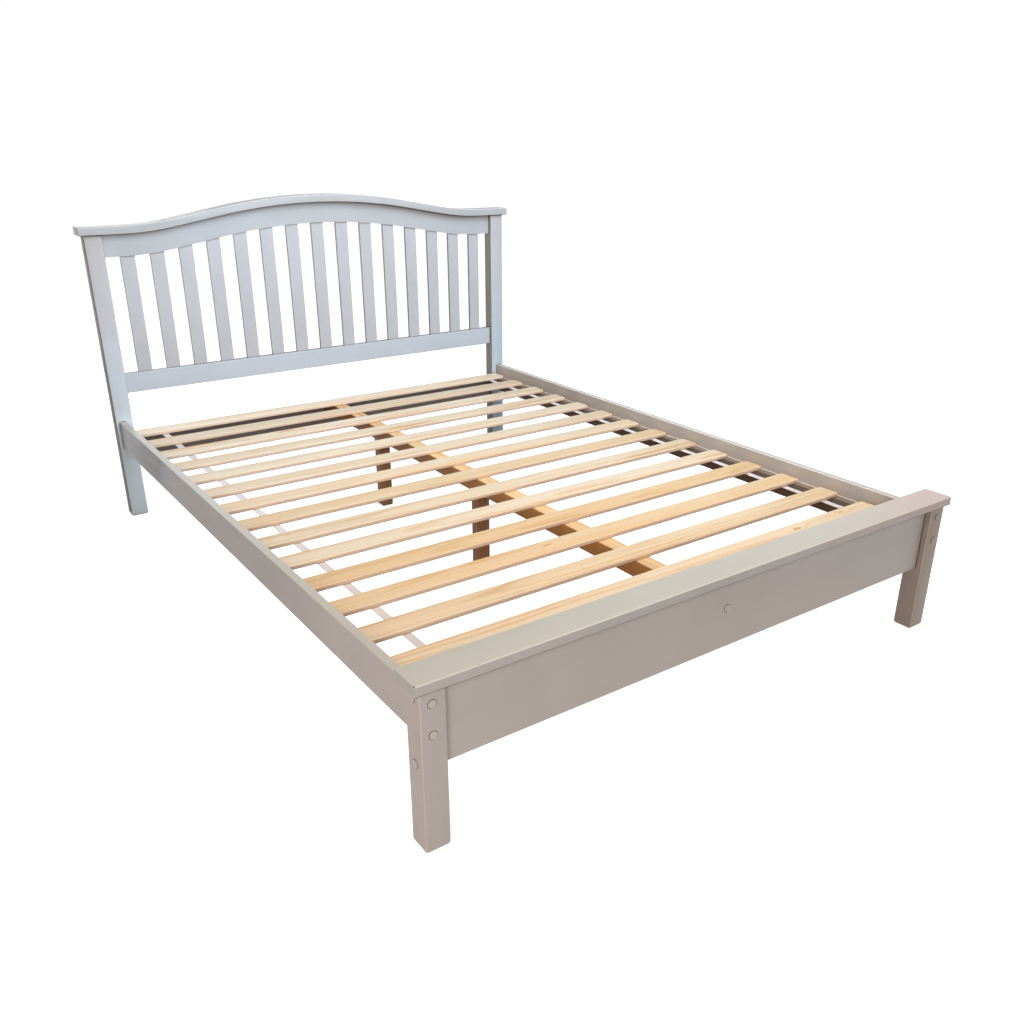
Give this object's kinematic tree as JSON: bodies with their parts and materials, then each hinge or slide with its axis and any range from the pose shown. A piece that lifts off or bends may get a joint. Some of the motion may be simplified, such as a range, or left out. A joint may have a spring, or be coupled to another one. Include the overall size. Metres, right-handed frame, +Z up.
{
  "type": "bed frame",
  "caption": "Low painted wooden bed frame: arched headboard with vertical spindles, panelled foot end with a flat cap board, side rails, centre rail on legs, and loose pine slats.",
  "frame": {"origin": "on the floor, in the middle of the part's overall box", "axes": "+X to the right seen from the foot end, +Y from the foot end to the headboard, +Z up"},
  "size_m": [1.617, 2.138, 1.0465],
  "materials": {
    "painted_wood": "satin grey paint",
    "slat_pine": "planed, unfinished",
    "centre_pine": "planed, unfinished",
    "tape_fabric": "woven tape",
    "cover_cap_plastic": "matt"
  },
  "bodies": {
    "root": {"foot_post_left": "painted_wood", "foot_post_right": "painted_wood", "foot_panel": "painted_wood", "foot_cap_board": "painted_wood", "head_post_left": "painted_wood", "head_post_right": "painted_wood", "headboard_top_rail": "painted_wood", "headboard_cap_moulding": "painted_wood", "headboard_lower_rail": "painted_wood", "head_cross_rail": "painted_wood", "side_rail_left": "painted_wood", "side_rail_right": "painted_wood", "slat_bearer_left": "painted_wood", "slat_bearer_right": "painted_wood", "headboard_spindle_01": "painted_wood", "headboard_spindle_02": "painted_wood", "headboard_spindle_03": "painted_wood", "headboard_spindle_04": "painted_wood", "headboard_spindle_05": "painted_wood", "headboard_spindle_06": "painted_wood", "headboard_spindle_07": "painted_wood", "headboard_spindle_08": "painted_wood", "headboard_spindle_09": "painted_wood", "headboard_spindle_10": "painted_wood", "headboard_spindle_11": "painted_wood", "headboard_spindle_12": "painted_wood", "headboard_spindle_13": "painted_wood", "headboard_spindle_14": "painted_wood", "headboard_spindle_15": "painted_wood", "bed_slat_01": "slat_pine", "bed_slat_02": "slat_pine", "bed_slat_03": "slat_pine", "bed_slat_04": "slat_pine", "bed_slat_05": "slat_pine", "bed_slat_06": "slat_pine", "bed_slat_07": "slat_pine", "bed_slat_08": "slat_pine", "bed_slat_09": "slat_pine", "bed_slat_10": "slat_pine", "bed_slat_11": "slat_pine", "bed_slat_12": "slat_pine", "bed_slat_13": "slat_pine", "bed_slat_14": "slat_pine", "centre_rail": "centre_pine", "centre_leg_front": "centre_pine", "centre_leg_rear": "centre_pine", "webbing_tape_left": "tape_fabric", "webbing_tape_right": "tape_fabric", "bolt_cover_caps": "cover_cap_plastic"}
  },
  "joints": []
}
